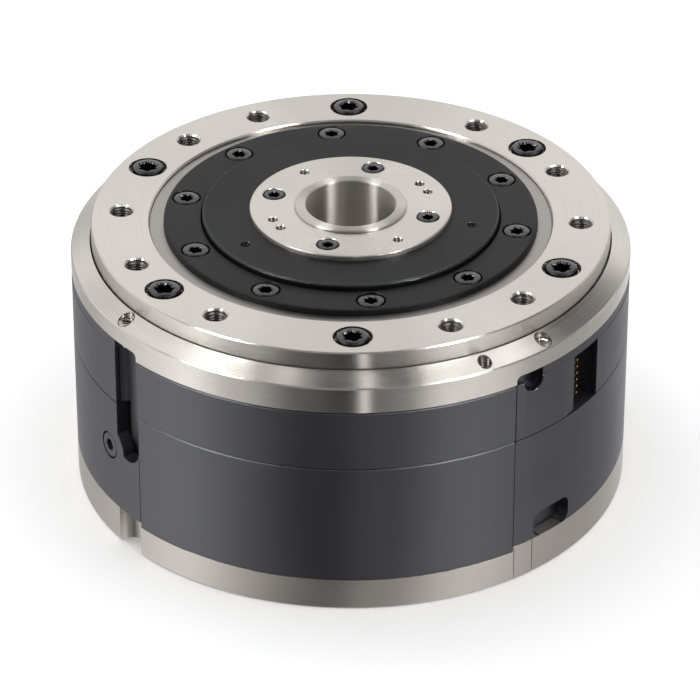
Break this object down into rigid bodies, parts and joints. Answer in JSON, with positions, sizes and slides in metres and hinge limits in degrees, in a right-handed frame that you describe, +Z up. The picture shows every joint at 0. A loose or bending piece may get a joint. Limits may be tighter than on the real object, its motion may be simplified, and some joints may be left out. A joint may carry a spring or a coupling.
{
  "type": "rotary actuator",
  "caption": "Hollow-shaft rotary actuator: strain-wave gear, crossed-roller output bearing, motor, brake and drive board in one round dark housing with steel rings.",
  "frame": {"origin": "centre of the base's mounting face", "axes": "+Z up along the output axis, +X out through the middle of the connector window"},
  "size_m": [0.15, 0.15, 0.0794],
  "materials": {
    "ground_steel": "ground stainless steel",
    "bearing_steel": "hardened and ground bearing steel",
    "gear_steel": "machined alloy steel",
    "dark_aluminium": "satin dark anodised aluminium",
    "black_plate": "satin black anodised aluminium",
    "plain_aluminium": "turned aluminium",
    "black_screw": "black oxide on alloy steel",
    "plain_screw": "bright steel",
    "seal_rubber": "black nitrile rubber",
    "spacer_plastic": "natural nylon",
    "lamination_steel": "stacked sheet steel",
    "copper": "enamelled copper",
    "magnet": "nickel plated",
    "brake_iron": "phosphated soft iron",
    "friction": "friction lining",
    "circuit_board": "solder resist",
    "chip": "moulded black plastic",
    "encoder_scale": "magnetic ring on a carrier",
    "gold": "gold plated"
  },
  "bodies": {
    "housing": {"base_ring": "ground_steel", "base_insert": "ground_steel", "retaining_ring": "ground_steel", "bearing_outer_ring": "bearing_steel", "input_bearing_outer_rings": "bearing_steel", "circular_spline": "gear_steel", "lower_housing": "dark_aluminium", "lower_front_cover": "dark_aluminium", "upper_housing": "dark_aluminium", "port_cover": "dark_aluminium", "upper_front_cover": "dark_aluminium", "bearing_housing": "dark_aluminium", "motor_housing": "dark_aluminium", "rear_cover": "black_plate", "rear_bearing_plate": "plain_aluminium", "board_standoffs": "plain_aluminium", "retaining_ring_screws": "plain_screw", "clamp_screw": "plain_screw", "base_screws": "plain_screw", "rear_cover_screws": "plain_screw", "bearing_housing_screws": "plain_screw", "circular_spline_screws": "plain_screw", "output_seal": "seal_rubber", "stator_core": "lamination_steel", "stator_windings": "copper", "brake_coil": "copper", "brake_body": "brake_iron", "brake_end_plate": "brake_iron", "drive_board": "circuit_board", "board_components": "chip", "connector_body": "chip", "connector_pins": "gold"},
    "output": {"output_flange": "ground_steel", "output_flange_screws": "black_screw", "bearing_inner_ring": "bearing_steel", "flexspline": "gear_steel", "clamp_ring": "black_plate", "clamp_ring_screws": "black_screw", "centre_cover": "black_plate", "hub_flange": "ground_steel", "hub_screws": "black_screw", "hollow_shaft": "ground_steel", "output_encoder_disc": "encoder_scale"},
    "roller_set": {"bearing_rollers": "bearing_steel", "roller_spacers": "spacer_plastic"},
    "rotor": {"input_shaft": "gear_steel", "input_bearing_inner_rings": "bearing_steel", "rotor_hub": "plain_aluminium", "rotor_magnets": "magnet", "wave_generator_plug": "gear_steel", "wave_generator_nut": "gear_steel", "wave_inner_race": "bearing_steel", "wave_outer_race": "bearing_steel", "wave_balls": "bearing_steel", "brake_disc": "friction", "input_encoder_disc": "encoder_scale"},
    "armature": {"brake_armature": "brake_iron"}
  },
  "joints": [
    {"name": "output_spin", "type": "hinge", "parent": "housing", "child": "output", "pos_m": [0, 0, 0.0555], "axis": [0, 0, 1], "continuous": true},
    {"name": "roller_orbit", "type": "hinge", "parent": "housing", "child": "roller_set", "pos_m": [0, 0, 0.0555], "axis": [0, 0, 1], "continuous": true},
    {"name": "rotor_spin", "type": "hinge", "parent": "housing", "child": "rotor", "pos_m": [0, 0, 0.031], "axis": [0, 0, 1], "continuous": true, "deforming": ["flexspline"]},
    {"name": "brake_release", "type": "slide", "parent": "housing", "child": "armature", "axis": [0, 0, -1], "range_m": [0, 0.0003], "stiffness_N_per_m": 2000, "springref_m": -0.001}
  ],
  "couplings": [
    {"joint": "rotor_spin", "follows": "output_spin", "ratio": -50},
    {"joint": "roller_orbit", "follows": "output_spin", "ratio": 0.486}
  ]
}
